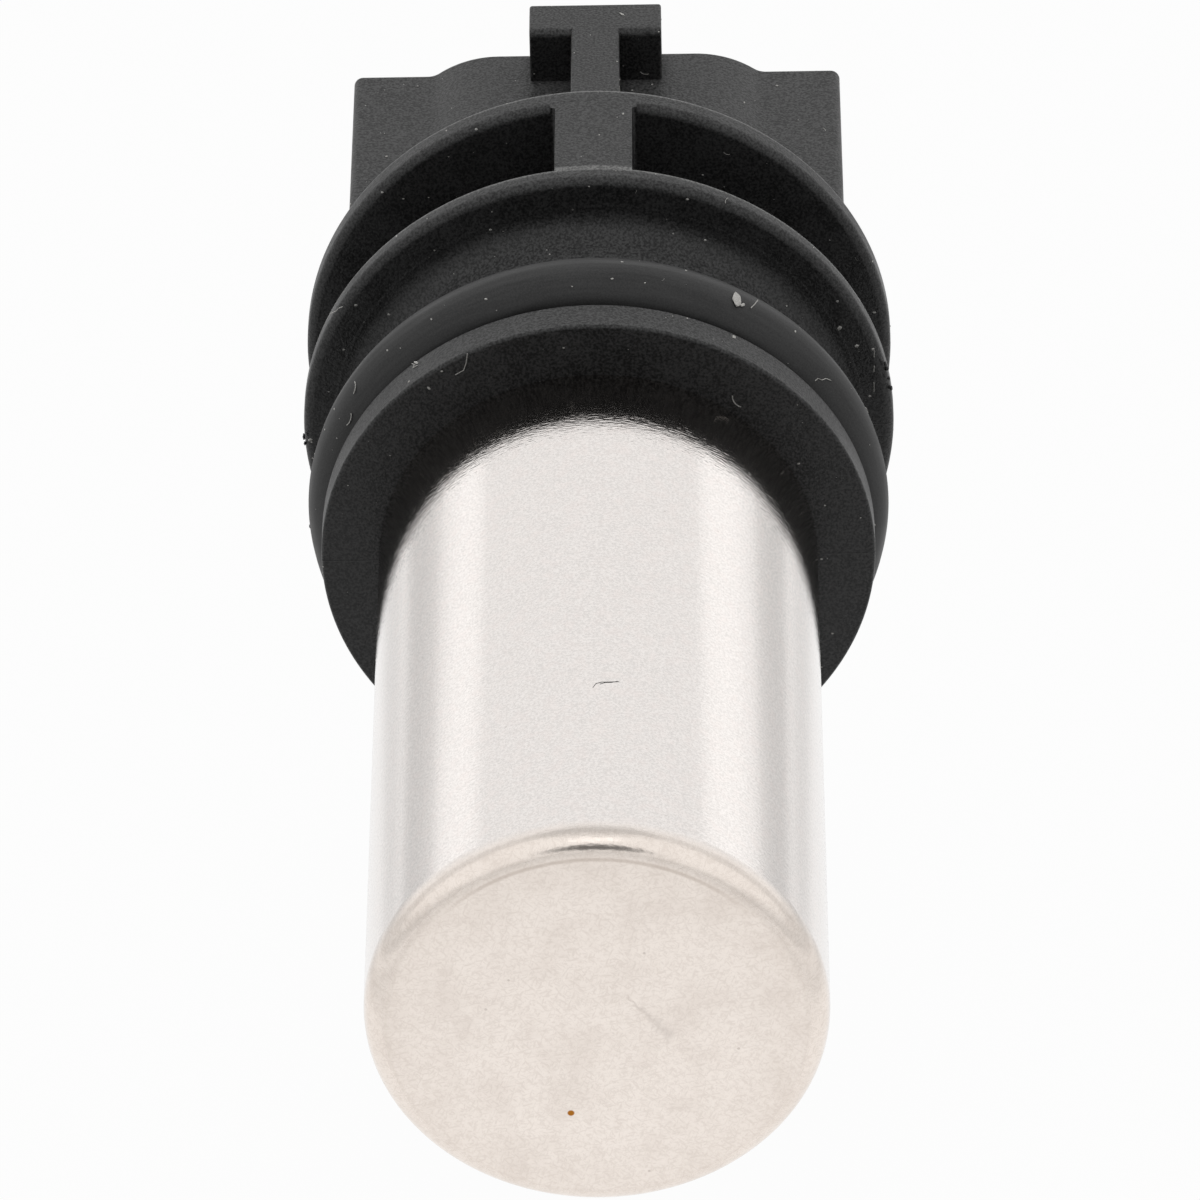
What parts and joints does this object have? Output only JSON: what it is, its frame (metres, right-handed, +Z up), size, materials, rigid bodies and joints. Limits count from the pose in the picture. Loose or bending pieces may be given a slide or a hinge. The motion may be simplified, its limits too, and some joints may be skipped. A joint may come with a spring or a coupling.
{
  "type": "crankshaft position sensor",
  "caption": "Plug-in crankshaft position sensor: steel can with a magnet and Hall chip, black moulded housing with seal ring, bolt-down ear and plug connector.",
  "frame": {"origin": "centre of the sensing face, the flat closed end of the can", "axes": "+Y along the sensor's axis from the sensing face to the connector, +Z up towards the connector's latch, the mounting ear points to -Z"},
  "size_m": [0.0254, 0.0609, 0.0404],
  "materials": {
    "housing_plastic": "fine matte moulded texture",
    "can_steel": "polished drawn stainless steel with fine turned brushing",
    "seal_rubber": "satin moulded rubber",
    "bushing_steel": "zinc plated steel",
    "terminal_tin": "tin plated brass",
    "holder_plastic": "moulded",
    "chip_plastic": "moulded",
    "magnet_metal": "sintered",
    "board_laminate": "solder mask",
    "capacitor_ceramic": "fired ceramic",
    "potting_resin": "cast resin"
  },
  "bodies": {
    "root": {"housing": "housing_plastic", "sensor_can": "can_steel", "o_ring": "seal_rubber", "bolt_bushing": "bushing_steel", "terminal_supply": "terminal_tin", "terminal_ground": "terminal_tin", "terminal_output": "terminal_tin", "element_holder": "holder_plastic", "hall_chip": "chip_plastic", "flux_plate": "bushing_steel", "magnet": "magnet_metal", "hall_lead_supply": "terminal_tin", "hall_lead_ground": "terminal_tin", "hall_lead_output": "terminal_tin", "circuit_board": "board_laminate", "supply_capacitor": "capacitor_ceramic", "output_capacitor": "capacitor_ceramic", "output_resistor": "chip_plastic", "potting": "potting_resin"}
  },
  "joints": []
}
